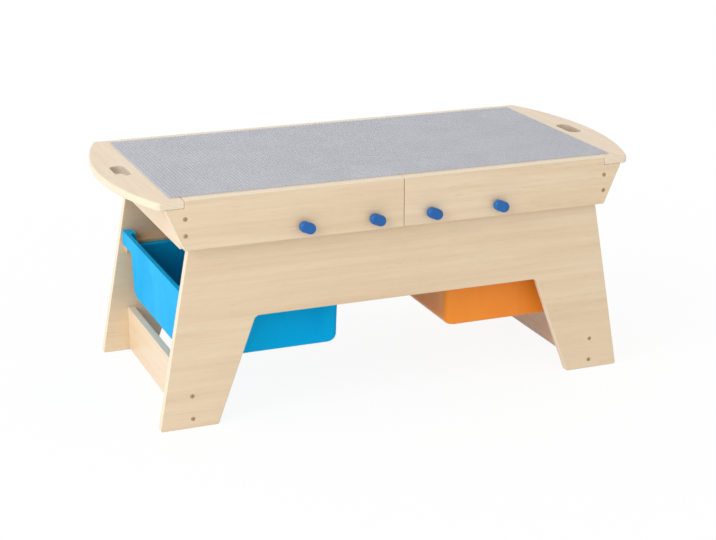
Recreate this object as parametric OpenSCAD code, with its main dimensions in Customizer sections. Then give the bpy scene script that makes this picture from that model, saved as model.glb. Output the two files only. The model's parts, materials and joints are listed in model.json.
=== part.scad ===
// Children's play table with storage: a plywood stand, a tray top covered with
// building plates, and two storage bins that slide out through the ends.
// Frame: X along the table, Y from front to back (the front is -Y), Z up.
// The origin is on the floor under the middle of the table. Millimetres.

/* [Stand] */
// Thickness of every plywood board
board = 18; // [15:0.5:21]
// How far a foot stands out past the end of the leg panel under the apron
foot_splay = 74; // [60:1:110]
// Width of a foot on the floor
foot_width = 130; // [110:1:150]
// Width of a leg beside the top of the arch, from the panel's end under the apron
leg_width = 144; // [125:1:170]
// Height of the arch between the feet
arch_height = 236; // [180:1:240]
// Radius of the arch's corners
arch_corner = 14; // [6:1:30]
// Radius of the corners of the feet
foot_corner = 5; // [2:0.5:9]

/* [Tray] */
// Height of the top face of the tray
table_height = 510; // [480:1:560]
// Height of the aprons, over the board under the handles
apron_height = 108; // [90:1:120]
// How far an apron's lower corner stands out past the end board's inner face
apron_foot = 12; // [8:1:17]
// How far an apron's upper corner stands out past the end board's inner face
apron_wing = 51; // [40:1:60]
// Gap between the two halves of an apron
seam_gap = 1.5; // [0.5:0.1:3]
// How far the play board lies on the end board
top_lap = 9; // [6:0.5:12]
// Border of the tray between the building plates and the aprons
plate_border = 10; // [6:0.5:16]
// How far the building plates reach over the handle boards
plate_over_handle = 25; // [10:1:32]
// Clearance round the play boards
board_gap = 0.4; // [0.2:0.1:1]

/* [Handles] */
// How far the handle's bowed edge stands out past its corners, over the whole depth
handle_bow = 57; // [30:1:80]
// From the end board's inner face to the middle of the handle's bowed edge
handle_reach = 122; // [105:1:150]
// Radius of the handle's front and rear corners
handle_corner = 10; // [6:1:40]
// Length of the hand slot
slot_length = 84; // [70:1:140]
// Width of the hand slot
slot_width = 30; // [22:1:34]
// Distance from the handle's bowed edge to the middle of the hand slot
slot_inset = 50; // [38:1:60]

/* [Building plates] */
// Side of one square building plate
plate_side = 256; // [240:1:256]
// Height of a building plate with its studs
plate_height = 3.4; // [2:0.1:5]
// Gap between neighbouring building plates
plate_gap = 0.4; // [0.2:0.1:1]
// Number of plates along the table
plate_columns = 4; // [4:1:4]
// Number of plates across the table
plate_rows = 2; // [2:1:2]

/* [End stretchers] */
// Height of the lower stretcher board at each end
stretcher_height = 105; // [90:1:112]
// Gap between the floor and a stretcher
stretcher_lift = 3; // [2:0.5:8]
// How far the middle of a stretcher stands out past the leg panel's upper end
stretcher_out = 1; // [-6:0.5:6]

/* [Bins] */
// Length of a bin over its lips
bin_length = 381; // [340:1:385]
// Height of a bin's ends
bin_height = 175; // [150:1:180]
// Height of the top of the bins' ends above the floor
bin_top = 302; // [294:1:330]
// How far the side rims lie below the top of the ends
side_drop = 30; // [20:1:36]
// Thickness of a bin's rims
rim_thickness = 4; // [3:0.2:5]
// Thickness of a bin's walls and floor
bin_wall = 2.6; // [2:0.1:3.5]
// How much narrower a bin is at the bottom, on each side
bin_draft = 5; // [4:1:12]
// Radius of a bin's upright corners
bin_corner = 12; // [8:1:20]
// Radius of a bin's bottom edge at its outer end
outer_round = 40; // [16:1:44]
// Radius of a bin's bottom edge at its inner end
inner_round = 18; // [16:1:32]
// Radius of a bin's bottom edges at its sides
side_round = 8; // [5:1:12]
// Clearance between a bin's side walls and the runners
bin_side_gap = 16; // [12:1:22]
// Width of the rim at the ends of a bin, from the body to the outer face of the lip
rim_end = 7; // [5:0.5:9]
// Length of the raised corners at each end of a bin
shoulder = 16; // [12:1:24]
// Thickness of the turned-down lips
lip_thickness = 3; // [2:0.2:3.6]
// Clearance of a bin's inner lip between the runners
lip_side_gap = 10; // [4:1:20]
// Gussets under each side rim
gussets = 6; // [3:1:8]
// Thickness of a gusset
gusset_thickness = 2.2; // [1.6:0.2:3]
// How far a closed bin's lip stands out past the leg panel's upper end
lip_reach = 16; // [6:1:18]
// How far the right bin stands open
right_bin_open = 14; // [0:1:20]

/* [Runners] */
// Height of a bin runner
runner_height = 28; // [24:1:34]
// Depth of a bin runner, from the leg panel inwards
runner_depth = 24; // [20:1:30]
// Height of the middle of the groove above the runner's lower edge
groove_rise = 19; // [17:0.5:21]
// Clearance round a bin's rim in the runner's groove
rim_gap = 0.4; // [0.3:0.1:1]
// Wood left behind the groove
groove_back = 4.4; // [3:0.2:7]
// Wood past the inner, closed end of the groove
groove_stop = 8; // [6:1:15]
// Clearance between a runner's outer end and a closed bin's lip
runner_end_gap = 1; // [0.5:0.1:3]

/* [Knobs] */
// Distances of the knobs from the middle of the table
knob_x = [66.5, 226];
// Height of the knobs above the lower edge of the aprons
knob_rise = 25; // [22:0.5:40]
// Length of a knob's oval head
knob_length = 37; // [30:1:46]
// Width of a knob's oval head
knob_width = 24; // [20:1:30]
// Height of a knob
knob_height = 20; // [16:1:26]
// Diameter of a knob's neck
knob_neck = 17; // [14:0.5:19]
// How far a front knob is turned clockwise, in degrees
knob_turn = 22; // [0:1:90]
// Gap between a knob's neck and the apron
knob_gap = 0.3; // [0.2:0.1:0.6]
// Diameter of the threaded stud in a knob
stud_diameter = 8; // [6:0.5:10]
// Clearance of the stud in its nut, on the radius
nut_gap = 0.1; // [0.02:0.01:0.1]

/* [Fasteners] */
// Diameter of a board screw's head
screw_head = 10; // [8:0.5:11]
// Diameter of a board screw's shank
screw_shank = 6.4; // [5:0.2:7]
// Length of a board screw
screw_length = 50; // [40:1:60]
// Height of the lower screw in a leg above the bottom of the stretcher
leg_screw_low = 18; // [12:0.5:24]
// Distance between the two screws in a leg
leg_screw_pitch = 52; // [40:1:60]
// Height of the lower apron screw above the apron's lower edge
apron_screw_low = 32; // [24:1:40]
// Distance between the two screws at the end of an apron
apron_screw_pitch = 36; // [28:1:44]
// Distance from a runner's inner end to its innermost screw
runner_screw_inset = 26; // [20:1:40]
// Distance from a closed bin's lip to a runner's outermost screw
runner_screw_setback = 45; // [30:1:60]
// Diameter of the dowels under the handles
dowel_diameter = 8; // [6:1:10]
// Length of a dowel
dowel_length = 28; // [24:1:30]

/* [Hidden] */
smooth = 64;            // facets that mark a true round
eps = 1;                // how far a cutter runs past a face
hole_gap = 0.1;         // clearance of a fixed fastener in its hole, on the radius
LEFT = -1;
RIGHT = 1;
FRONT = -1;
REAR = 1;

birch = [0.87, 0.76, 0.62];
plate_grey = [0.67, 0.67, 0.72];
bin_blue = [0.05, 0.55, 0.85];
bin_orange = [0.95, 0.50, 0.12];
knob_blue = [0.12, 0.36, 0.72];
steel = [0.72, 0.72, 0.72];
brass = [0.55, 0.42, 0.22];
beech = [0.80, 0.65, 0.47];

panel_half = plate_columns * plate_side / 2 - plate_over_handle - top_lap;
panel_outer = plate_rows * plate_side / 2 + plate_border;
panel_inner = panel_outer - board;
apron_outer = panel_outer + board;
seam_height = table_height - apron_height;
board_under = table_height - board;
foot_outer = panel_half + foot_splay;
foot_inner = foot_outer - foot_width;
arch_half = panel_half - leg_width;
end_outer = panel_half + board;
end_middle = panel_half + board / 2;
top_end = panel_half + top_lap;
handle_end = panel_half + handle_reach;
handle_radius = (apron_outer * apron_outer + handle_bow * handle_bow) / (2 * handle_bow);
slot_x = handle_end - slot_inset;
stretcher_x = panel_half + stretcher_out;
stretcher_top = stretcher_lift + stretcher_height;
bin_outer = panel_half + lip_reach;
bin_inner = bin_outer - bin_length;
bin_floor = bin_top - bin_height;
side_top = bin_top - side_drop;
side_under = side_top - rim_thickness;
runner_inner = panel_inner - runner_depth;
bin_half = runner_inner - bin_side_gap;
groove_face = panel_inner - groove_back;
rim_half = groove_face - rim_gap;
groove_low = side_under - rim_gap;
groove_high = side_top + rim_gap;
runner_low = (groove_low + groove_high) / 2 - groove_rise;
runner_high = runner_low + runner_height;
runner_end = bin_inner - rim_gap - groove_stop;
runner_outer = bin_outer - lip_thickness - runner_end_gap;
runner_screw_z = (runner_low + groove_low) / 2;
runner_screw_length = runner_depth + 11;
knob_z = seam_height + knob_rise;
knob_places = [-knob_x[1], -knob_x[0], knob_x[0], knob_x[1]];
stud_radius = stud_diameter / 2;
stud_hole = stud_radius + 0.5;
knob_under = 6;          // height of the underside of a knob's head
stud_seat = 12;          // how deep the stud sits in the knob
nut_barrel = stud_radius + nut_gap + 1.4;
nut_depth = 12;
nut_flange = 11;
nut_flange_thickness = 1.5;
dowel_blind = dowel_length / 2 + 0.2;

// ---------- helpers ----------

function unit(v) = v / norm(v);
function turn(a, b, c) = (b.x - a.x) * (c.y - b.y) - (b.y - a.y) * (c.x - b.x);
function before(points, i) = points[(i + len(points) - 1) % len(points)];
function after(points, i) = points[(i + 1) % len(points)];
function half_angle(points, i) =
    acos(unit(before(points, i) - points[i]) * unit(after(points, i) - points[i])) / 2;
function tangent_reach(points, radii, i) = radii[i] / tan(half_angle(points, i));
function corner_ends(points, radii, i) = radii[i] == 0 ? [points[i]] : [
    points[i] + unit(before(points, i) - points[i]) * tangent_reach(points, radii, i),
    points[i] + unit(after(points, i) - points[i]) * tangent_reach(points, radii, i)
];
function corner_centre(points, radii, i) =
    points[i] + unit(unit(before(points, i) - points[i]) + unit(after(points, i) - points[i]))
    * (radii[i] / sin(half_angle(points, i)));

// An outline, anticlockwise, whose corners are rounded with true arcs.
module rounded_outline(points, radii) {
    last = len(points) - 1;
    difference() {
        union() {
            polygon([for (i = [0:last]) each corner_ends(points, radii, i)]);
            for (i = [0:last])
                if (radii[i] > 0 && turn(before(points, i), points[i], after(points, i)) > 0)
                    translate(corner_centre(points, radii, i))
                        circle(r = radii[i], $fn = smooth);
        }
        for (i = [0:last])
            if (radii[i] > 0 && turn(before(points, i), points[i], after(points, i)) < 0)
                translate(corner_centre(points, radii, i))
                    circle(r = radii[i], $fn = smooth);
    }
}

// The modelled shape, or its mirror image at the other end of the table.
module at_end(side) {
    if (side == RIGHT) children();
    else mirror([1, 0, 0]) children();
}

// The modelled shape at the rear, or its mirror image at the front.
module at_face(face) {
    if (face == REAR) children();
    else mirror([0, 1, 0]) children();
}

// An outline in X and Z made into a board, from y_low to y_high.
module upright(y_low, y_high) {
    translate([0, y_high, 0])
        rotate([90, 0, 0])
            linear_extrude(height = y_high - y_low) children();
}

// A box from its lowest to its highest corner.
module span(low, high) {
    translate(low) cube(high - low);
}

// A hole along Y, from y_low to y_high.
module hole_y(x, z, y_low, y_high, r) {
    translate([x, y_high, z])
        rotate([90, 0, 0])
            cylinder(h = y_high - y_low, r = r, $fn = smooth);
}

// ---------- fasteners, drawn at the rear and on the right ----------

// A board screw that goes in along -Y from the face at y_face.
module board_screw(x, z, y_face) {
    difference() {
        union() {
            hole_y(x, z, y_face - 3, y_face, screw_head / 2);
            hole_y(x, z, y_face - screw_length, y_face - 3, screw_shank / 2);
        }
        translate([x, y_face + eps, z])
            rotate([90, 0, 0])
                cylinder(h = 2 + eps, r = screw_head * 0.22, $fn = 6);
    }
}

// The hole for a board screw.
module board_screw_hole(x, z, y_face) {
    hole_y(x, z, y_face - 3 - hole_gap, y_face + eps, screw_head / 2 + hole_gap);
    hole_y(x, z, y_face - screw_length - 2, y_face - 3, screw_shank / 2 + hole_gap);
}

function apron_screw_heights() =
    [seam_height + apron_screw_low, seam_height + apron_screw_low + apron_screw_pitch];
function leg_screw_heights() =
    [stretcher_lift + leg_screw_low, stretcher_lift + leg_screw_low + leg_screw_pitch];
function rail_screw_heights() =
    [seam_height + board, board_under - board];
function runner_screw_places() =
    [runner_end + runner_screw_inset, (runner_end + bin_outer) / 2, bin_outer - runner_screw_setback];

module apron_screw_holes() {
    for (z = apron_screw_heights()) board_screw_hole(end_middle, z, apron_outer);
}

module leg_screw_holes() {
    for (z = leg_screw_heights()) board_screw_hole(stretcher_x, z, panel_outer);
}

module rail_screw_holes() {
    for (z = rail_screw_heights()) board_screw_hole(0, z, panel_outer);
}

// A countersunk screw that holds a runner, going in along +Y.
module runner_screw(x) {
    tip = runner_inner + runner_screw_length;
    hole_y(x, runner_screw_z, runner_inner + 2, tip, 1.75);
    translate([x, runner_inner, runner_screw_z])
        rotate([-90, 0, 0])
            cylinder(h = 2.2, r1 = 3.5, r2 = 1.75, $fn = smooth);
}

module runner_screw_hole(x) {
    tip = runner_inner + runner_screw_length + 1;
    hole_y(x, runner_screw_z, runner_inner - eps, tip, 1.75 + hole_gap);
    translate([x, runner_inner - hole_gap, runner_screw_z])
        rotate([-90, 0, 0])
            cylinder(h = 2.5, r1 = 3.75, r2 = 1.75, $fn = smooth);
}

// ---------- stand ----------

// The outline of a leg panel: two splayed legs, the arch and the part behind the apron.
function leg_panel_points() = [
    [-foot_outer, 0], [-foot_inner, 0], [-arch_half, arch_height],
    [arch_half, arch_height], [foot_inner, 0], [foot_outer, 0],
    [panel_half, seam_height], [panel_half, board_under],
    [-panel_half, board_under], [-panel_half, seam_height]
];
function leg_panel_radii() = [
    foot_corner, foot_corner, arch_corner, arch_corner, foot_corner, foot_corner, 0, 0, 0, 0
];

module leg_panel() {
    color(birch)
    difference() {
        upright(panel_inner, panel_outer)
            rounded_outline(leg_panel_points(), leg_panel_radii());
        for (side = [LEFT, RIGHT])
            at_end(side) {
                leg_screw_holes();
                for (x = runner_screw_places()) runner_screw_hole(x);
            }
        rail_screw_holes();
        for (x = knob_places) {
            hole_y(x, knob_z, panel_inner - eps, panel_outer + eps, stud_hole);
            hole_y(x, knob_z, panel_inner - eps, panel_inner + nut_depth, nut_barrel + hole_gap);
        }
    }
}

module leg_panel_front() { at_face(FRONT) leg_panel(); }
module leg_panel_rear() { at_face(REAR) leg_panel(); }

// The lower board between the two legs of one end.
module end_stretcher() {
    color(birch)
    difference() {
        span([stretcher_x - board / 2, -panel_inner, stretcher_lift],
             [stretcher_x + board / 2, panel_inner, stretcher_top]);
        for (face = [FRONT, REAR]) at_face(face) leg_screw_holes();
    }
}

module end_stretcher_left() { at_end(LEFT) end_stretcher(); }
module end_stretcher_right() { at_end(RIGHT) end_stretcher(); }

// The rail across the stand, under the joint of the play boards.
module centre_rail() {
    color(birch)
    difference() {
        span([-board / 2, -panel_inner, seam_height], [board / 2, panel_inner, board_under]);
        for (face = [FRONT, REAR]) at_face(face) rail_screw_holes();
    }
}

// ---------- tray ----------

// The outline of one half of an apron, with the rebate for the handle board.
function apron_points() = [
    [seam_gap / 2, seam_height], [panel_half + apron_foot, seam_height],
    [panel_half + apron_wing, board_under], [top_end, board_under],
    [top_end, table_height], [seam_gap / 2, table_height]
];

module apron_half() {
    color(birch)
    difference() {
        upright(panel_outer, apron_outer)
            rounded_outline(apron_points(), [0, 4, 0, 0, 0, 0]);
        apron_screw_holes();
        for (x = knob_x) hole_y(x, knob_z, panel_outer - eps, apron_outer + eps, stud_hole);
        handle_dowel_holes();
    }
}

module apron_front_left() { at_face(FRONT) at_end(LEFT) apron_half(); }
module apron_front_right() { at_face(FRONT) at_end(RIGHT) apron_half(); }
module apron_rear_left() { at_face(REAR) at_end(LEFT) apron_half(); }
module apron_rear_right() { at_face(REAR) at_end(RIGHT) apron_half(); }

// The upright board that closes one end of the tray.
module end_board() {
    color(birch)
    difference() {
        span([panel_half, -panel_outer, seam_height], [end_outer, panel_outer, board_under]);
        for (face = [FRONT, REAR]) at_face(face) apron_screw_holes();
    }
}

module end_board_left() { at_end(LEFT) end_board(); }
module end_board_right() { at_end(RIGHT) end_board(); }

// Dowels stand in the rebates of the aprons, halfway through their thickness.
function dowel_places() = [top_end + 11, panel_half + apron_wing - 13];

module handle_dowel_holes() {
    for (x = dowel_places())
        translate([x, panel_outer + board / 2, board_under - dowel_blind])
            cylinder(h = dowel_blind + eps, r = dowel_diameter / 2 + hole_gap, $fn = smooth);
}

module handle_board() {
    corner_y = apron_outer - handle_corner;
    bow_centre = handle_end - handle_radius;
    reach = handle_radius - handle_corner;
    corner_x = bow_centre + sqrt(reach * reach - corner_y * corner_y);
    tangent = [bow_centre + (corner_x - bow_centre) * handle_radius / reach,
               corner_y * handle_radius / reach];
    far = apron_outer + handle_corner;
    color(birch)
    difference() {
        translate([0, 0, board_under])
            linear_extrude(height = board)
                difference() {
                    intersection() {
                        translate([bow_centre, 0]) circle(r = handle_radius, $fn = 4 * smooth);
                        translate([top_end, -apron_outer])
                            square([handle_reach, 2 * apron_outer]);
                    }
                    for (face = [FRONT, REAR])
                        mirror([0, face == REAR ? 0 : 1])
                            difference() {
                                polygon([[corner_x, apron_outer], [corner_x, far],
                                         [tangent.x + handle_corner, far],
                                         [tangent.x + handle_corner, tangent.y], tangent]);
                                translate([corner_x, corner_y])
                                    circle(r = handle_corner, $fn = smooth);
                            }
                    hand_slot();
                }
        for (face = [FRONT, REAR])
            at_face(face)
                for (x = dowel_places())
                    translate([x, panel_outer + board / 2, board_under - eps])
                        cylinder(h = dowel_blind - 2 + eps, r = dowel_diameter / 2 + hole_gap,
                                 $fn = smooth);
    }
}

module hand_slot() {
    straight = slot_length - slot_width;
    translate([slot_x - slot_width / 2, -straight / 2]) square([slot_width, straight]);
    for (face = [FRONT, REAR])
        translate([slot_x, face * straight / 2]) circle(r = slot_width / 2, $fn = smooth);
}

module handle_board_left() { at_end(LEFT) handle_board(); }
module handle_board_right() { at_end(RIGHT) handle_board(); }

// One half of the tray's top, lying on the leg panels, the rail and the end board.
module play_board() {
    edge = panel_outer - board_gap;
    color(birch)
        span([board_gap / 2, -edge, board_under], [top_end - board_gap, edge, table_height]);
}

module play_board_left() { at_end(LEFT) play_board(); }
module play_board_right() { at_end(RIGHT) play_board(); }

// Building plates are numbered along the front row and then along the rear row.
module building_plate(index) {
    column = (index - 1) % plate_columns;
    row = floor((index - 1) / plate_columns);
    x = (column - plate_columns / 2) * plate_side;
    y = (row - plate_rows / 2) * plate_side;
    inset = plate_gap / 2;
    color(plate_grey)
        span([x + inset, y + inset, table_height],
             [x + plate_side - inset, y + plate_side - inset, table_height + plate_height]);
}

// ---------- bins and runners ----------

// A grooved runner on the inner face of a leg panel. The groove is closed at its inner end.
module runner() {
    color(beech)
    difference() {
        span([runner_end, runner_inner, runner_low], [runner_outer, panel_inner, runner_high]);
        span([bin_inner - rim_gap, runner_inner - eps, groove_low],
             [bin_outer + eps, groove_face, groove_high]);
        for (x = runner_screw_places()) runner_screw_hole(x);
    }
}

module runner_front_left() { at_face(FRONT) at_end(LEFT) runner(); }
module runner_front_right() { at_face(FRONT) at_end(RIGHT) runner(); }
module runner_rear_left() { at_face(REAR) at_end(LEFT) runner(); }
module runner_rear_right() { at_face(REAR) at_end(RIGHT) runner(); }

// A thin slab with rounded upright corners, from x_low to x_high and across the table.
module rounded_slab(x_low, x_high, half_width, z, r) {
    for (x = [x_low + r, x_high - r])
        for (y = [r - half_width, half_width - r])
            translate([x, y, z]) cylinder(h = 0.1, r = r, $fn = 32);
}

// How far a bin's wall leans in at a height above its floor.
function lean(height) = bin_draft * (1 - height / bin_height);
// How far a bottom edge of radius r has turned in at a height above the floor.
function turned_in(height, r) = height >= r ? 0 : r - sqrt(r * r - (r - height) * (r - height));

// The tapered body of a bin with round bottom edges, drawn in by the inset on every side.
module bin_body(inset, top_z) {
    heights = [for (r = [inner_round, outer_round], step = [0:5]) (r - inset) * (1 - cos(18 * step))];
    hull() {
        for (height = concat(heights, [top_z - bin_floor - inset - 0.1])) {
            wall = inset + lean(height + inset);
            inner = wall + turned_in(height, inner_round - inset);
            outer = wall + turned_in(height, outer_round - inset);
            at_sides = wall + turned_in(height, side_round - inset);
            rounded_slab(bin_inner + rim_end + inner, bin_outer - rim_end - outer,
                         bin_half - at_sides, bin_floor + inset + height, bin_corner - inset);
        }
    }
}

// What is cut off above the side rims, so that only the ends of a bin stand high.
module between_shoulders() {
    low = bin_inner + rim_end + shoulder;
    high = bin_outer - rim_end - shoulder;
    over = bin_top + eps;
    upright(-panel_inner, panel_inner)
        rounded_outline([[low, side_top], [high, side_top], [high, over], [low, over]], [6, 6, 0, 0]);
}

// The flat rims at the sides, which slide in the runners, open behind the lips.
module side_rims() {
    open_half = bin_half - bin_corner;
    open_length = rim_end - lip_thickness + bin_wall;
    translate([0, 0, side_under])
        linear_extrude(height = rim_thickness)
            difference() {
                rounded_outline([[bin_inner, -rim_half], [bin_outer, -rim_half],
                                 [bin_outer, rim_half], [bin_inner, rim_half]], [8, 2, 2, 8]);
                for (x = [bin_inner + lip_thickness, bin_outer - lip_thickness - open_length])
                    translate([x, -open_half]) square([open_length, 2 * open_half]);
            }
}

// The rim on top of one end of a bin with its turned-down lip. The lip's outer face is at x.
module end_rim(x, inward, half) {
    far = x + inward * (rim_end + shoulder);
    lip_back = x + inward * lip_thickness;
    translate([0, 0, bin_top - rim_thickness])
        linear_extrude(height = rim_thickness)
            rounded_outline([[min(x, far), -half], [max(x, far), -half],
                             [max(x, far), half], [min(x, far), half]],
                            inward < 0 ? [5, 2, 2, 5] : [2, 5, 5, 2]);
    translate([min(x, lip_back), 0, 0])
        rotate([90, 0, 90])
            linear_extrude(height = lip_thickness)
                rounded_outline([[-half, side_under], [half, side_under], [half, bin_top - 1],
                                 [-half, bin_top - 1]], [5, 5, 0, 0]);
}

// Gussets between the body's side walls and the side rims.
module bin_gussets() {
    depth = bin_side_gap - 3;
    low = side_under - 2 * depth;
    leaning = lean(low - bin_floor);
    root = bin_half - bin_wall;
    first = bin_inner + rim_end + bin_corner + shoulder;
    pitch = (bin_length - 2 * (rim_end + bin_corner + shoulder)) / (gussets - 1);
    for (i = [0:gussets - 1])
        for (face = [FRONT, REAR])
            at_face(face)
                translate([first + i * pitch - gusset_thickness / 2, 0, 0])
                    rotate([90, 0, 90])
                        linear_extrude(height = gusset_thickness)
                            polygon([[root - leaning, low], [bin_half - leaning, low],
                                     [bin_half + depth, side_under], [root - leaning, side_under]]);
}

module bin() {
    difference() {
        union() {
            bin_body(0, bin_top);
            side_rims();
            end_rim(bin_outer, -1, rim_half);
            end_rim(bin_inner, 1, runner_inner - lip_side_gap);
            bin_gussets();
        }
        bin_body(bin_wall, bin_top + 2 * eps);
        between_shoulders();
    }
}

module bin_left() { color(bin_blue) at_end(LEFT) bin(); }
module bin_right() { color(bin_orange) translate([right_bin_open, 0, 0]) bin(); }

// ---------- knobs ----------

// The section across a knob's head. Its lower edges are eased and its upper edges are round.
module knob_section() {
    half = knob_width / 2;
    rounded_outline([[-half, knob_under], [half, knob_under], [half, knob_height],
                     [-half, knob_height]], [2, 2, 6, 6]);
}

// The oval head of a knob, as high as knob_height, its length along X.
module knob_head() {
    reach = (knob_length - knob_width) / 2;
    translate([-reach, 0, 0])
        rotate([90, 0, 90])
            linear_extrude(height = 2 * reach) knob_section();
    for (end = [-reach, reach])
        translate([end, 0, 0])
            rotate_extrude($fn = smooth)
                intersection() {
                    knob_section();
                    square([knob_width, knob_height]);
                }
}

// A knob on the rear face, its axis along +Y, with the socket for its stud.
module knob(x) {
    color(knob_blue)
    translate([x, apron_outer + knob_gap, knob_z])
        rotate([-90, knob_turn, 0])
            difference() {
                union() {
                    cylinder(h = knob_under + eps, r = knob_neck / 2, $fn = smooth);
                    knob_head();
                }
                translate([0, 0, -eps])
                    cylinder(h = stud_seat + eps, r = stud_radius + 0.02, $fn = smooth);
            }
}

// The threaded stud that is fixed in a knob and turns in a tee nut.
module stud(x) {
    color(steel)
        hole_y(x, knob_z, panel_inner + 0.5, apron_outer + knob_gap + stud_seat, stud_radius);
}

module knob_front(i) { at_face(FRONT) knob(knob_places[i - 1]); }
module knob_rear(i) { at_face(REAR) knob(knob_places[i - 1]); }
module stud_front(i) { at_face(FRONT) stud(knob_places[i - 1]); }
module stud_rear(i) { at_face(REAR) stud(knob_places[i - 1]); }

// A nut with a barrel in the leg panel and a flange on its inner face.
module tee_nut(x) {
    difference() {
        union() {
            hole_y(x, knob_z, panel_inner, panel_inner + nut_depth - 0.5, nut_barrel);
            hole_y(x, knob_z, panel_inner - nut_flange_thickness, panel_inner, nut_flange);
        }
        hole_y(x, knob_z, panel_inner - nut_flange_thickness - eps, panel_inner + nut_depth,
               stud_radius + nut_gap);
    }
}

module tee_nuts() {
    color(steel)
        for (face = [FRONT, REAR])
            at_face(face)
                for (x = knob_places) tee_nut(x);
}

// ---------- groups of fasteners ----------

module apron_screws() {
    color(brass)
        for (face = [FRONT, REAR])
            for (side = [LEFT, RIGHT])
                at_face(face) at_end(side)
                    for (z = apron_screw_heights()) board_screw(end_middle, z, apron_outer);
}

module stretcher_screws() {
    color(brass)
        for (face = [FRONT, REAR])
            for (side = [LEFT, RIGHT])
                at_face(face) at_end(side)
                    for (z = leg_screw_heights()) board_screw(stretcher_x, z, panel_outer);
}

module rail_screws() {
    color(brass)
        for (face = [FRONT, REAR])
            at_face(face)
                for (z = rail_screw_heights()) board_screw(0, z, panel_outer);
}

module runner_screws() {
    color(brass)
        for (face = [FRONT, REAR])
            for (side = [LEFT, RIGHT])
                at_face(face) at_end(side)
                    for (x = runner_screw_places()) runner_screw(x);
}

module handle_dowels() {
    color(beech)
        for (face = [FRONT, REAR])
            for (side = [LEFT, RIGHT])
                at_face(face) at_end(side)
                    for (x = dowel_places())
                        translate([x, panel_outer + board / 2, board_under - dowel_length / 2])
                            cylinder(h = dowel_length - 2, r = dowel_diameter / 2, $fn = smooth);
}

// ---------- what is drawn ----------

leg_panel_front();
leg_panel_rear();
apron_front_left();
apron_front_right();
apron_rear_left();
apron_rear_right();
end_board_left();
end_board_right();
handle_board_left();
handle_board_right();
end_stretcher_left();
end_stretcher_right();
centre_rail();
play_board_left();
play_board_right();
building_plate(1);  // building_plate_1
building_plate(2);  // building_plate_2
building_plate(3);  // building_plate_3
building_plate(4);  // building_plate_4
building_plate(5);  // building_plate_5
building_plate(6);  // building_plate_6
building_plate(7);  // building_plate_7
building_plate(8);  // building_plate_8
runner_front_left();
runner_front_right();
runner_rear_left();
runner_rear_right();
bin_left();
bin_right();
knob_front(1);  // knob_front_1
knob_front(2);  // knob_front_2
knob_front(3);  // knob_front_3
knob_front(4);  // knob_front_4
knob_rear(1);  // knob_rear_1
knob_rear(2);  // knob_rear_2
knob_rear(3);  // knob_rear_3
knob_rear(4);  // knob_rear_4
stud_front(1);  // stud_front_1
stud_front(2);  // stud_front_2
stud_front(3);  // stud_front_3
stud_front(4);  // stud_front_4
stud_rear(1);  // stud_rear_1
stud_rear(2);  // stud_rear_2
stud_rear(3);  // stud_rear_3
stud_rear(4);  // stud_rear_4
tee_nuts();
apron_screws();
stretcher_screws();
rail_screws();
runner_screws();
handle_dowels();
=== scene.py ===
# Looks of the children's play table with storage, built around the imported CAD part.
import json
import math

import bmesh
import bpy
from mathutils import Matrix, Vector
from mathutils.bvhtree import BVHTree
from mathutils.kdtree import KDTree


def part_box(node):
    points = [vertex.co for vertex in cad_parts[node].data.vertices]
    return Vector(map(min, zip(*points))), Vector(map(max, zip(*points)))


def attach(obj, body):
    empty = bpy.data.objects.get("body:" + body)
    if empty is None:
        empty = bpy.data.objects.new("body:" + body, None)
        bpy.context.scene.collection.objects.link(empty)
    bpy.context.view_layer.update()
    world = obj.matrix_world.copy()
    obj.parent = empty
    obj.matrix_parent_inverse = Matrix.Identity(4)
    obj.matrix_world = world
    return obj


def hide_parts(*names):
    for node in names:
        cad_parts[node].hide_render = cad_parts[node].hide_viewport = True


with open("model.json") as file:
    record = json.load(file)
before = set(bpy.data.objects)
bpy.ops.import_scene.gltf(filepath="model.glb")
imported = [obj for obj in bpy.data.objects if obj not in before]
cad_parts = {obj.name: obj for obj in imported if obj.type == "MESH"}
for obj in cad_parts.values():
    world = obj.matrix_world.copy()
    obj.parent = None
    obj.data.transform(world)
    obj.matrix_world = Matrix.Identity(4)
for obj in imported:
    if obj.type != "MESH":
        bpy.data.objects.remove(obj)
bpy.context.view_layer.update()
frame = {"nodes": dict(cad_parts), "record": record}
NODES = frame["nodes"]
OPENINGS = frame["record"]["physics"]["openings"]
HAND_SLOTS = [o["box_m"] for o in OPENINGS if o["name"].startswith("hand_slot")]

# Lengths are in metres and angles in degrees. The axes 0, 1 and 2 are X, Y and Z.
X, Y, Z = range(3)
WELD = 2e-6  # points closer than this are one point
BIN_WELD = 3e-4  # the facets of the bins' drafted walls leave slivers as narrow as this
FLAT = 0.3  # neighbouring facets that turn by less make one flat face
HOLE_RADIUS = 0.0075  # the holes for screws, nuts and dowels are narrower than this
HOLE_FACETS = (0.02, 0.3)  # the facets of a round wall turn by between these, in radians
EASE_TRIES = 8
EASE_REACH = 1.1  # in widths, how far an eased edge may lie from the plain mesh
FOLDED = 0.7  # cosine below which a triangle has turned out of its face
FACING = 0.75  # cosine above which a face of a board is veneer, and not a cut edge


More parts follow.
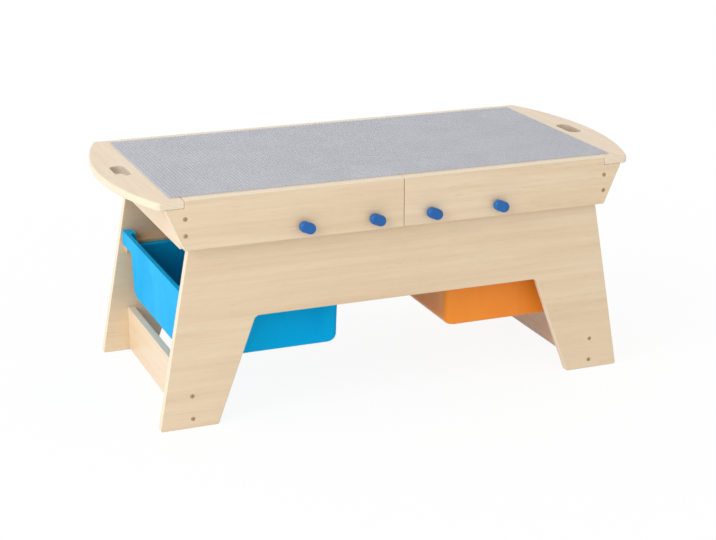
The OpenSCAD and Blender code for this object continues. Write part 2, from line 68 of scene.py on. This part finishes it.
# ---------------------------------------------------------------- node helpers
class Tree:
    """A material's node tree with short calls for its nodes."""

    def __init__(self, name):
        self.material = bpy.data.materials.new(name)
        self.material.use_nodes = True
        self.nodes = self.material.node_tree.nodes
        self.links = self.material.node_tree.links
        self.shader = next(n for n in self.nodes if n.type == "BSDF_PRINCIPLED")
        self.out = next(n for n in self.nodes if n.type == "OUTPUT_MATERIAL")

    def node(self, kind, inputs=None, **settings):
        """A new node whose inputs are linked to sockets or set to values."""
        n = self.nodes.new(kind)
        for key, value in settings.items():
            setattr(n, key, value)
        for key, value in (inputs or {}).items():
            if isinstance(value, bpy.types.NodeSocket):
                self.links.new(value, n.inputs[key])
            else:
                n.inputs[key].default_value = value
        return n

    def math(self, operation, a, b=0.0):
        return self.node("ShaderNodeMath", {0: a, 1: b}, operation=operation).outputs[0]

    def place(self, scale, move=(0, 0, 0)):
        """Points in the part's own frame, in metres, scaled."""
        where = self.node("ShaderNodeTexCoord").outputs["Object"]
        inputs = {"Vector": where, "Scale": scale, "Location": move}
        return self.node("ShaderNodeMapping", inputs).outputs[0]

    def noise(self, where, detail, rough=0.5, twist=0.0):
        """Noise from 0 to 1 at points that place() has scaled."""
        return self.node(
            "ShaderNodeTexNoise",
            {"Vector": where, "Scale": 1.0, "Detail": detail, "Roughness": rough,
             "Distortion": twist},
        ).outputs["Fac"]

    def ramp(self, fac, *stops):
        """Colours at positions along a factor."""
        n = self.node("ShaderNodeValToRGB", {"Fac": fac})
        while len(n.color_ramp.elements) < len(stops):
            n.color_ramp.elements.new(0.5)
        for e, (at, colour) in zip(n.color_ramp.elements, stops):
            e.position = at
            e.color = (*colour, 1.0)
        return n.outputs["Color"]

    def mix(self, fac, a, b):
        """Colour a where the factor is 0 and b where it is 1."""
        n = self.node("ShaderNodeMix", data_type="RGBA", blend_type="MIX")
        for socket, value in ((n.inputs["Factor"], fac), (n.inputs[6], a), (n.inputs[7], b)):
            if isinstance(value, bpy.types.NodeSocket):
                self.links.new(value, socket)
            elif isinstance(value, tuple):
                socket.default_value = (*value, 1.0)
            else:
                socket.default_value = value
        return n.outputs[2]

    def span(self, value, low, high, to_low, to_high):
        """The value's place between low and high, brought to lie between the last two."""
        return self.node(
            "ShaderNodeMapRange",
            {"Value": value, "From Min": low, "From Max": high,
             "To Min": to_low, "To Max": to_high},
        ).outputs[0]

    def bump(self, height, distance, strength=1.0):
        return self.node(
            "ShaderNodeBump", {"Height": height, "Distance": distance, "Strength": strength}
        ).outputs[0]

    def finish(self, colour, rough, normal=None, **fixed):
        """Joins the looks to the shader and gives back the material."""
        self.links.new(colour, self.shader.inputs["Base Color"])
        if isinstance(rough, bpy.types.NodeSocket):
            self.links.new(rough, self.shader.inputs["Roughness"])
        else:
            self.shader.inputs["Roughness"].default_value = rough
        if normal is not None:
            self.links.new(normal, self.shader.inputs["Normal"])
        for key, value in fixed.items():
            self.shader.inputs[key.replace("_", " ")].default_value = value
        return self.material


# ---------------------------------------------------------------- materials
BIRCH_LIGHT = (0.80, 0.635, 0.44)
BIRCH_MID = (0.755, 0.575, 0.375)
BIRCH_DARK = (0.66, 0.475, 0.285)
BIRCH_PORE = (0.50, 0.34, 0.20)
BIRCH_CLOUD = (0.86, 0.72, 0.55)
PLY_GLUE = (0.61, 0.465, 0.31)
PLY_DARK = (0.77, 0.635, 0.465)
PLY_LIGHT = (0.88, 0.765, 0.605)
PLIES = 13
PAINTED_SLOT_SHADE = 0.62  # painted shade: a hand slot's wall is drawn this much darker than the sanded edges, for the shade inside the slot


def stretched(across, along, axis):
    """Texture scales: one across the axis, and one along it."""
    return tuple(along if i == axis else across for i in range(3))


def even(scale):
    return (scale, scale, scale)


def wood_face(name, grain, seed):
    """Lacquered birch veneer whose fibres run along the grain axis. The seed moves its figure."""
    t = Tree(name)
    move = (seed * 1.37, seed * 0.73, seed * 2.11)
    wide = stretched(7.0, 0.9, grain)
    fibre = t.noise(t.place(stretched(60.0, 2.2, grain), move), detail=6.0, rough=0.62, twist=0.25)
    figure = t.noise(t.place(wide, move), detail=3.0, rough=0.5, twist=0.8)
    cloud = t.noise(t.place(even(2.4), move), detail=2.0)
    pore = t.noise(t.place(stretched(420.0, 26.0, grain), move), detail=2.0, rough=0.6)
    rings = t.node(
        "ShaderNodeTexWave",
        {"Vector": t.place(tuple(w * 1.3 for w in wide), move), "Scale": 1.0, "Distortion": 9.0,
         "Detail": 3.0, "Detail Scale": 1.2, "Detail Roughness": 0.6},
        wave_type="RINGS", rings_direction="SPHERICAL", wave_profile="SAW",
    ).outputs["Fac"]
    base = t.ramp(figure, (0.30, BIRCH_MID), (0.55, BIRCH_LIGHT), (0.72, BIRCH_MID))
    base = t.mix(t.span(fibre, 0.42, 0.72, 0.0, 0.55), base, BIRCH_DARK)
    base = t.mix(t.span(rings, 0.0, 1.0, 0.16, 0.0), base, BIRCH_DARK)
    base = t.mix(t.span(pore, 0.60, 0.72, 0.0, 0.30), base, BIRCH_PORE)
    base = t.mix(t.span(cloud, 0.3, 0.7, 0.10, 0.0), base, BIRCH_CLOUD)
    rough = t.span(fibre, 0.2, 0.8, 0.40, 0.54)
    height = t.math("ADD", t.math("MULTIPLY", fibre, 0.6), t.math("MULTIPLY", pore, -0.4))
    relief = t.bump(height, 0.0005, 0.5)
    return t.finish(base, rough, relief, Coat_Weight=0.45, Coat_Roughness=0.24)


def wood_edge(name, axis, start, thick, shade=1.0):
    """The cut edge of a plywood board whose plies lie along the axis, from start, over thick; a
    shade below 1 darkens it as painted shade.
    """
    glue, dark, light = (
        tuple(c * shade for c in colour) for colour in (PLY_GLUE, PLY_DARK, PLY_LIGHT)
    )
    t = Tree(name)
    where = t.node("ShaderNodeTexCoord").outputs["Object"]
    along = t.node("ShaderNodeSeparateXYZ", {"Vector": where}).outputs[axis]
    wobble = t.noise(t.place(even(24.0)), detail=2.0)
    depth = t.math("SUBTRACT", along, start)
    depth = t.math("ADD", depth, t.math("MULTIPLY", t.math("SUBTRACT", wobble, 0.5), 0.00035))
    ply = t.math("MULTIPLY", depth, PLIES / thick)
    cross = t.math("PINGPONG", ply, 1.0)
    fleck = t.noise(t.place(stretched(900.0, 420.0, axis)), detail=3.0, rough=0.7)
    cloud = t.noise(t.place(even(14.0)), detail=2.0)
    base = t.ramp(cross, (0.10, glue), (0.30, dark), (0.66, light))
    base = t.mix(t.span(fleck, 0.45, 0.75, 0.0, 0.32), base, glue)
    base = t.mix(t.span(cloud, 0.3, 0.7, 0.22, 0.0), base, light)
    rough = t.span(fleck, 0.3, 0.7, 0.50, 0.66)
    relief = t.bump(t.math("ADD", cross, fleck), 0.0002, 0.5)
    return t.finish(base, rough, relief, Coat_Weight=0.25, Coat_Roughness=0.32)


def beech(name):
    """Planed beech with its short dark flecks, its fibres along X."""
    t = Tree(name)
    fibre = t.noise(t.place((5.0, 220.0, 220.0)), detail=5.0, rough=0.6, twist=0.2)
    fleck = t.noise(t.place((150.0, 900.0, 900.0)), detail=2.0)
    base = t.ramp(fibre, (0.30, (0.55, 0.36, 0.20)), (0.60, (0.68, 0.48, 0.30)))
    base = t.mix(t.span(fleck, 0.60, 0.70, 0.0, 0.5), base, (0.36, 0.21, 0.11))
    return t.finish(base, t.span(fibre, 0.3, 0.7, 0.45, 0.6), t.bump(fibre, 0.0003, 0.5))


def plastic(name, colour, deep, rough, grain, gloss):
    """Moulded plastic: a mould texture of the grain's scale, faint flow marks and light scuffs."""
    t = Tree(name)
    spark = t.noise(t.place(even(grain)), detail=2.0, rough=0.6)
    flow = t.noise(t.place((9.0, 9.0, 4.0)), detail=3.0, twist=0.6)
    scuff = t.noise(t.place((260.0, 34.0, 34.0)), detail=5.0, rough=0.75, twist=1.0)
    base = t.mix(t.span(flow, 0.3, 0.7, 0.0, 1.0), colour, deep)
    pale = tuple(c + (1.0 - c) * 0.22 for c in colour)
    base = t.mix(t.span(scuff, 0.66, 0.80, 0.0, 0.22), base, pale)
    worn = t.span(scuff, 0.60, 0.80, 0.0, 0.20)
    roughness = t.math("ADD", t.span(flow, 0.3, 0.7, rough - 0.04, rough + 0.05), worn)
    relief = t.bump(t.math("ADD", spark, t.math("MULTIPLY", flow, 3.0)), 0.00015, 0.35)
    return t.finish(base, roughness, relief, Specular_IOR_Level=gloss)


def metal(name, colour, rough):
    """Plated metal with fine marks along Y and darker patches."""
    t = Tree(name)
    brushed = t.noise(t.place((900.0, 60.0, 900.0)), detail=4.0, rough=0.7)
    patch = t.noise(t.place(even(70.0)), detail=3.0)
    dark = tuple(c * 0.62 for c in colour)
    base = t.mix(t.span(patch, 0.35, 0.75, 0.0, 0.7), colour, dark)
    roughness = t.span(brushed, 0.2, 0.8, rough - 0.1, rough + 0.12)
    return t.finish(base, roughness, t.bump(brushed, 0.0001, 0.4), Metallic=1.0)


blue_bin_plastic = plastic(
    "bin_blue_plastic", colour=(0.0, 0.435, 0.82), deep=(0.0, 0.38, 0.765),
    rough=0.46, grain=900.0, gloss=0.05,
)
orange_bin_plastic = plastic(
    "bin_orange_plastic", colour=(1.0, 0.335, 0.036), deep=(0.95, 0.275, 0.024),
    rough=0.36, grain=900.0, gloss=0.25,
)
plate_plastic = plastic(
    "plate_grey_plastic", colour=(0.505, 0.51, 0.545), deep=(0.47, 0.475, 0.51),
    rough=0.42, grain=1800.0, gloss=0.3,
)
knob_plastic = plastic(
    "knob_blue_plastic", colour=(0.010, 0.125, 0.41), deep=(0.007, 0.10, 0.35),
    rough=0.36, grain=1400.0, gloss=0.35,
)
steel = metal("zinc_steel", (0.62, 0.62, 0.60), 0.32)
screw_metal = metal("screw_metal", (0.54, 0.40, 0.25), 0.42)
runner_wood = beech("runner_beech")


# ---------------------------------------------------------------- boards and moulded pieces
def new_object(name, data):
    """A new object in the scene with this mesh, lamp or camera."""
    obj = bpy.data.objects.new(name, data)
    bpy.context.scene.collection.objects.link(obj)
    return obj


def dress(obj, *materials):
    """Gives the object's mesh these materials and no others."""
    obj.data.materials.clear()
    for material in materials:
        obj.data.materials.append(material)


def rebuilt(node, suffix, sharp, leave=None, weld=WELD):
    """A new object with the CAD node's own faces, joined where they are flat.

    The edges that turn by more than sharp are marked for rounding, but for those that leave()
    is true for.
    """
    mesh = bpy.data.meshes.new(node + suffix)
    obj = new_object(node + suffix, mesh)
    bm = bmesh.new()
    source = NODES[node].data
    points = [bm.verts.new(v.co) for v in source.vertices]
    for f in source.polygons:
        bm.faces.new([points[i] for i in f.vertices])
    bmesh.ops.remove_doubles(bm, verts=bm.verts, dist=weld)
    bmesh.ops.dissolve_limit(bm, angle_limit=math.radians(FLAT), verts=bm.verts, edges=bm.edges)
    weight = bm.edges.layers.float.new("bevel_weight_edge")
    for edge in bm.edges:
        if len(edge.link_faces) != 2 or edge.calc_face_angle(0.0) < math.radians(sharp):
            continue
        if leave is None or not leave(edge):
            edge[weight] = 1.0
    bm.to_mesh(mesh)
    bm.free()
    return obj


def applied(obj):
    """Puts the result of the object's modifiers into its mesh."""
    bpy.context.view_layer.update()
    mesh = bpy.data.meshes.new_from_object(obj.evaluated_get(bpy.context.evaluated_depsgraph_get()))
    mesh.name = obj.name
    obj.modifiers.clear()
    obj.data = mesh


def joined_up(mesh):
    """Takes out the bevel's doubled points and the faces without area between them."""
    bm = bmesh.new()
    bm.from_mesh(mesh)
    bmesh.ops.remove_doubles(bm, verts=bm.verts, dist=WELD)
    bmesh.ops.dissolve_degenerate(bm, edges=bm.edges, dist=WELD)
    bm.to_mesh(mesh)
    bm.free()


def misfits(mesh, plain, reach):
    """Points beside which the eased mesh leaves the plain one by more than reach, or folds over."""
    bm = bmesh.new()
    bm.from_mesh(plain)
    surface = BVHTree.FromBMesh(bm)
    bm.free()
    far = {v.index for v in mesh.vertices if surface.find_nearest(v.co)[3] > reach}
    places = []
    for a, b in (e.vertices for e in mesh.edges):
        if (a in far) != (b in far):
            places.append(mesh.vertices[b if a in far else a].co.copy())
    bm = bmesh.new()
    bm.from_mesh(mesh)
    for triangle in bm.calc_loop_triangles():
        a, b, c = (corner.vert.co for corner in triangle)
        across = (b - a).cross(c - a)
        has_area = across.length > 1e-9
        if has_area and across.normalized().dot(triangle[0].face.normal) < FOLDED:
            places += [a.copy(), b.copy(), c.copy()]
    bm.free()
    return places


def unmark(mesh, places):
    """Leaves the edges at the vertices nearest to the places as they are."""
    tree = KDTree(len(mesh.vertices))
    for v in mesh.vertices:
        tree.insert(v.co, v.index)
    tree.balance()
    crowded = {tree.find(place)[1] for place in places}
    weight = mesh.attributes["bevel_weight_edge"].data
    for e in mesh.edges:
        if crowded & set(e.vertices):
            weight[e.index].value = 0.0


def ease(obj, width, segments, sharp):
    """Rounds the marked edges where that fits, and shades the mesh so that flat faces stay flat.

    An edge that turns by more than sharp stays a hard line in the shading.
    """
    plain = obj.data.copy()
    for _ in range(EASE_TRIES):
        mod = obj.modifiers.new("ease", "BEVEL")
        mod.width = width
        mod.segments = segments
        mod.limit_method = "WEIGHT"
        mod.use_clamp_overlap = False
        mod.loop_slide = False
        applied(obj)
        joined_up(obj.data)
        places = misfits(obj.data, plain, EASE_REACH * width)
        if not places:
            break
        unmark(plain, places)
        obj.data = plain.copy()
    smooth(obj.data, sharp)
    mod = obj.modifiers.new("flat", "WEIGHTED_NORMAL")
    mod.keep_sharp = True
    applied(obj)


def stand_for(obj, node, body):
    """Lets the object take the CAD node's place on its body."""
    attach(obj, body)
    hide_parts(node)


def board(node, axis, grain, seed, width):
    """A plywood board: the CAD node's own shape with eased outer edges and visible plies.

    The board is thin along the axis, its fibres run along the grain axis, and its edges are eased
    by the width.
    """
    obj = rebuilt(node, "_board", sharp=25, leave=lambda edge: beside_hole(edge, axis))
    low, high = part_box(node)
    start, thick = low[axis], high[axis] - low[axis]
    ease(obj, width, segments=3, sharp=40)
    mesh = obj.data
    veneer, plies, slot_painted_shade = range(3)
    faces = wood_face(node + "_veneer", grain, seed)
    edges = wood_edge(node + "_plies", axis, start, thick)
    dress(obj, faces, edges)
    for f in mesh.polygons:
        f.material_index = veneer if abs(f.normal[axis]) > FACING else plies
    # Painted shade: the walls of the hand slots get a darker copy of the ply edge, for the shade
    # inside the slots.
    if node.startswith("handle_board"):
        mesh.materials.append(wood_edge(node + "_routed", axis, start, thick, PAINTED_SLOT_SHADE))
        for f in mesh.polygons:
            if f.material_index == plies and in_hand_slot(f.center):
                f.material_index = slot_painted_shade
    stand_for(obj, node, "frame")


def in_hand_slot(place):
    """True for a place at a hand slot's wall, a little outside the record's opening."""
    below, above = (0.006, 0.012, 0.01), (0.006, 0.012, -0.006)
    return any(
        all(low[i] - below[i] < place[i] < high[i] + above[i] for i in (X, Y, Z))
        for low, high in HAND_SLOTS
    )


def beside_hole(edge, axis):
    """True for an edge at a screw, nut or dowel hole that runs along the axis."""
    low, high = HOLE_FACETS
    for f in edge.link_faces:
        in_wall = abs(f.normal[axis]) <= 0.5
        if not in_wall:
            continue
        middle = f.calc_center_median()
        for e in f.edges:
            if e is edge or len(e.link_faces) != 2 or not low < e.calc_face_angle(0.0) < high:
                continue
            other = e.link_faces[0] if e.link_faces[1] is f else e.link_faces[1]
            gap = other.calc_center_median() - middle
            radius = gap.length / f.normal.angle(other.normal)
            hollow = gap.dot(other.normal) < 0
            if radius < HOLE_RADIUS and hollow:
                return True
    return False


def smooth(mesh, sharp):
    """Smooth shading with hard lines at the edges that turn by more than sharp."""
    for f in mesh.polygons:
        f.use_smooth = True
    bm = bmesh.new()
    bm.from_mesh(mesh)
    for e in bm.edges:
        e.smooth = len(e.link_faces) == 2 and e.calc_face_angle(0.0) < math.radians(sharp)
    bm.to_mesh(mesh)
    bm.free()


BOARDS = (  # node, axis across the plies, axis of the fibres, width of the eased edges
    ("leg_panel_front", Y, X, 0.0018), ("leg_panel_rear", Y, X, 0.0018),
    ("apron_front_left", Y, X, 0.0015), ("apron_front_right", Y, X, 0.0015),
    ("apron_rear_left", Y, X, 0.0015), ("apron_rear_right", Y, X, 0.0015),
    ("end_board_left", X, Y, 0.0012), ("end_board_right", X, Y, 0.0012),
    ("handle_board_left", Z, Y, 0.0035), ("handle_board_right", Z, Y, 0.0035),
    ("end_stretcher_left", X, Y, 0.0018), ("end_stretcher_right", X, Y, 0.0018),
    ("centre_rail", X, Y, 0.0012),
    ("play_board_left", Z, X, 0.0008), ("play_board_right", Z, X, 0.0008),
)
for seed, (node, axis, grain, width) in enumerate(BOARDS, start=1):
    board(node, axis, grain, seed, width)

# ---------------------------------------------------------------- building plates
PITCH = 0.008
STUD_RADIUS = 0.0024
STUD_HEIGHT = 0.0017
STUD_SIDES = 12
STUD_EDGE = 0.0003  # the chamfer round a stud's top
DECK_EDGE = 0.0004  # the chamfer round the plate's deck
CIRCLE = [
    (math.cos(2 * math.pi * k / STUD_SIDES), math.sin(2 * math.pi * k / STUD_SIDES))
    for k in range(STUD_SIDES)
]


def building_plate(node):
    """A plate as one closed mesh: a slab with the node's outline and a grid of studs on top."""
    low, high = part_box(node)
    deck = high.z - STUD_HEIGHT
    bm = bmesh.new()
    count_x = round((high.x - low.x) / PITCH)
    count_y = round((high.y - low.y) / PITCH)
    mid_x, mid_y = (low.x + high.x) / 2, (low.y + high.y) / 2
    lines_x = [mid_x + (i - count_x / 2) * PITCH for i in range(count_x + 1)]
    lines_y = [mid_y + (j - count_y / 2) * PITCH for j in range(count_y + 1)]
    lines_x[0], lines_x[-1] = low.x + DECK_EDGE, high.x - DECK_EDGE
    lines_y[0], lines_y[-1] = low.y + DECK_EDGE, high.y - DECK_EDGE
    grid = [[bm.verts.new((x, y, deck)) for y in lines_y] for x in lines_x]
    outline = ((low.x, low.y), (high.x, low.y), (high.x, high.y), (low.x, high.y))
    foot = [bm.verts.new((x, y, low.z)) for x, y in outline]
    brim = [bm.verts.new((x, y, deck - DECK_EDGE)) for x, y in outline]
    bm.faces.new(list(reversed(foot)))
    borders = (
        [column[0] for column in grid], grid[-1],
        [column[-1] for column in reversed(grid)], list(reversed(grid[0])),
    )
    for i, border in enumerate(borders):
        j = (i + 1) % 4
        bm.faces.new((foot[i], foot[j], brim[j], brim[i]))
        half = len(border) // 2
        bm.faces.new((brim[i], brim[j], border[half]))
        for k, (a, b) in enumerate(zip(border, border[1:])):
            bm.faces.new((brim[i] if k < half else brim[j], b, a))
    for i in range(count_x):
        for j in range(count_y):
            middle = (
                mid_x + (i - (count_x - 1) / 2) * PITCH,
                mid_y + (j - (count_y - 1) / 2) * PITCH,
            )
            corners = (grid[i][j], grid[i + 1][j], grid[i + 1][j + 1], grid[i][j + 1])
            stud(bm, middle, corners, deck, high.z)
    mesh = bpy.data.meshes.new(node + "_studs")
    bm.to_mesh(mesh)
    bm.free()
    obj = new_object(node + "_studs", mesh)
    dress(obj, plate_plastic)
    stand_for(obj, node, "frame")


def stud(bm, middle, corners, deck, top):
    """A stud and the square of deck round it, whose corners run anticlockwise from low X and Y."""
    rings = [
        [bm.verts.new((middle[0] + c * radius, middle[1] + s * radius, z)) for c, s in CIRCLE]
        for radius, z in (
            (STUD_RADIUS, deck), (STUD_RADIUS, top - STUD_EDGE), (STUD_RADIUS - STUD_EDGE, top))
    ]
    after_corner = 8  # the ring's first point past the square's first corner
    for q in range(4):
        before, first, second, third = (
            rings[0][(after_corner + 3 * q + k) % STUD_SIDES] for k in (-1, 0, 1, 2))
        a, b = corners[q], corners[(q + 1) % 4]
        bm.faces.new((a, b, third, second, first))
        bm.faces.new((a, first, before))
    for a, b in zip(rings, rings[1:]):
        for k in range(STUD_SIDES):
            m = (k + 1) % STUD_SIDES
            bm.faces.new((a[k], a[m], b[m], b[k])).smooth = True
    bm.faces.new(rings[-1])


for k in range(1, 9):
    building_plate("building_plate_%d" % k)

# ---------------------------------------------------------------- bins and runners
for node, body, slot, use in (
    ("bin_left", "blue_bin", "bin_blue", blue_bin_plastic),
    ("bin_right", "orange_bin", "bin_orange", orange_bin_plastic),
):
    shell = rebuilt(node, "_shell", sharp=30, weld=BIN_WELD)
    ease(shell, width=0.0008, segments=2, sharp=34)
    dress(shell, use)
    stand_for(shell, node, body)

for end in ("front_left", "front_right", "rear_left", "rear_right"):
    rail = rebuilt("runner_" + end, "_rail", sharp=30, leave=lambda edge: beside_hole(edge, Y))
    ease(rail, width=0.0010, segments=2, sharp=40)
    dress(rail, runner_wood)
    stand_for(rail, "runner_" + end, "frame")

# ---------------------------------------------------------------- finishes of the other pieces
for node, obj in NODES.items():
    if node.startswith("knob_"):
        use = knob_plastic
    elif node.startswith("stud_") or node == "tee_nuts":
        use = steel
    elif node == "handle_dowels":
        use = runner_wood
    elif node.endswith("_screws"):
        use = screw_metal
    else:
        continue
    for s in obj.material_slots:
        s.material = use

# ---------------------------------------------------------------- floor, light and camera
WHITE = (1.0, 1.0, 1.0, 1.0)
SKY_COLOUR = (0.955, 0.975, 0.995, 1.0)
SKY_STRENGTH = 0.785
FLOOR_CORNERS = [(-30, -12, 0), (30, -12, 0), (30, 60, 0), (-30, 60, 0)]

floor_mesh = bpy.data.meshes.new("floor")
floor_mesh.from_pydata(FLOOR_CORNERS, [], [(0, 1, 2, 3)])
floor = new_object("floor", floor_mesh)
paper = Tree("floor_paper")
speck = paper.noise(paper.place(even(3.0)), detail=2.0)
paper.finish(paper.mix(paper.span(speck, 0.3, 0.7, 0.0, 1.0), even(0.935), even(0.925)), 0.85)
# Seen directly, the floor is its own white light, a little less so near the table, where its
# shadow has to show.
near, far, near_share, far_share = 0.75, 2.2, 0.92, 1.0
away = paper.node("ShaderNodeVectorMath", {0: paper.place(even(1.0))}, operation="LENGTH")
white_share = paper.span(away.outputs["Value"], near, far, near_share, far_share)
rays = paper.node("ShaderNodeLightPath").outputs
direct = paper.math("MAXIMUM", rays["Is Camera Ray"], rays["Is Glossy Ray"])
backdrop = paper.node("ShaderNodeEmission", {"Color": WHITE, "Strength": 1.0}).outputs[0]
share = paper.math("MULTIPLY", direct, white_share)
lit = paper.node("ShaderNodeMixShader", {0: share, 1: paper.shader.outputs[0], 2: backdrop})
paper.links.new(lit.outputs[0], paper.out.inputs["Surface"])
dress(floor, paper.material)

# The camera and mirrors see a white world, and everything else is lit by a slightly cooler one.
world = bpy.data.worlds.new("studio")
bpy.context.scene.world = world
world.use_nodes = True
wn, wl = world.node_tree.nodes, world.node_tree.links
wn.clear()
output = wn.new("ShaderNodeOutputWorld")
mixer = wn.new("ShaderNodeMixShader")
ray = wn.new("ShaderNodeLightPath")
soft = wn.new("ShaderNodeBackground")
soft.inputs["Color"].default_value = SKY_COLOUR
soft.inputs["Strength"].default_value = SKY_STRENGTH
seen = wn.new("ShaderNodeBackground")
seen.inputs["Color"].default_value = WHITE
seen.inputs["Strength"].default_value = 1.0
seen_or_mirrored = wn.new("ShaderNodeMath")
seen_or_mirrored.operation = "MAXIMUM"
wl.new(ray.outputs["Is Camera Ray"], seen_or_mirrored.inputs[0])
wl.new(ray.outputs["Is Glossy Ray"], seen_or_mirrored.inputs[1])
wl.new(seen_or_mirrored.outputs[0], mixer.inputs[0])
wl.new(soft.outputs[0], mixer.inputs[1])
wl.new(seen.outputs[0], mixer.inputs[2])
wl.new(mixer.outputs[0], output.inputs[0])


LAMP_COLOUR = (1.0, 0.98, 0.955)
LAMP_TARGET = (0.0, 0.0, 0.3)
LAMP_SIDE = 4.3


def area_light(name, place, power):
    """A large square lamp, in watts, that shines on the table."""
    data = bpy.data.lights.new(name, "AREA")
    data.shape = "RECTANGLE"
    data.size = data.size_y = LAMP_SIDE
    data.energy = power
    data.color = LAMP_COLOUR
    obj = new_object(name, data)
    obj.location = place
    aim = (Vector(LAMP_TARGET) - Vector(place)).normalized()
    obj.rotation_euler = aim.to_track_quat("-Z", "Y").to_euler()


area_light("key", (-6.1, -2.9, 4.5), 274.0)
area_light("left", (-7.6, -1.2, 2.6), 78.0)

# The camera that was solved from the photograph's edges and corners.
camera_data = bpy.data.cameras.new("camera")
camera_data.sensor_fit = "HORIZONTAL"
camera_data.sensor_width = 36.0
camera_data.lens = 83.87
camera_data.clip_end = 200.0
camera = new_object("camera", camera_data)
camera.location = (-1.3681, -3.4515, 1.4238)
azimuth, elevation = math.radians(21.70), math.radians(18.00)
level = math.cos(elevation)
ahead = Vector((math.sin(azimuth) * level, math.cos(azimuth) * level, -math.sin(elevation)))
camera.rotation_euler = ahead.to_track_quat("-Z", "Y").to_euler()
bpy.context.scene.camera = camera
bpy.context.scene.view_settings.view_transform = "Standard"
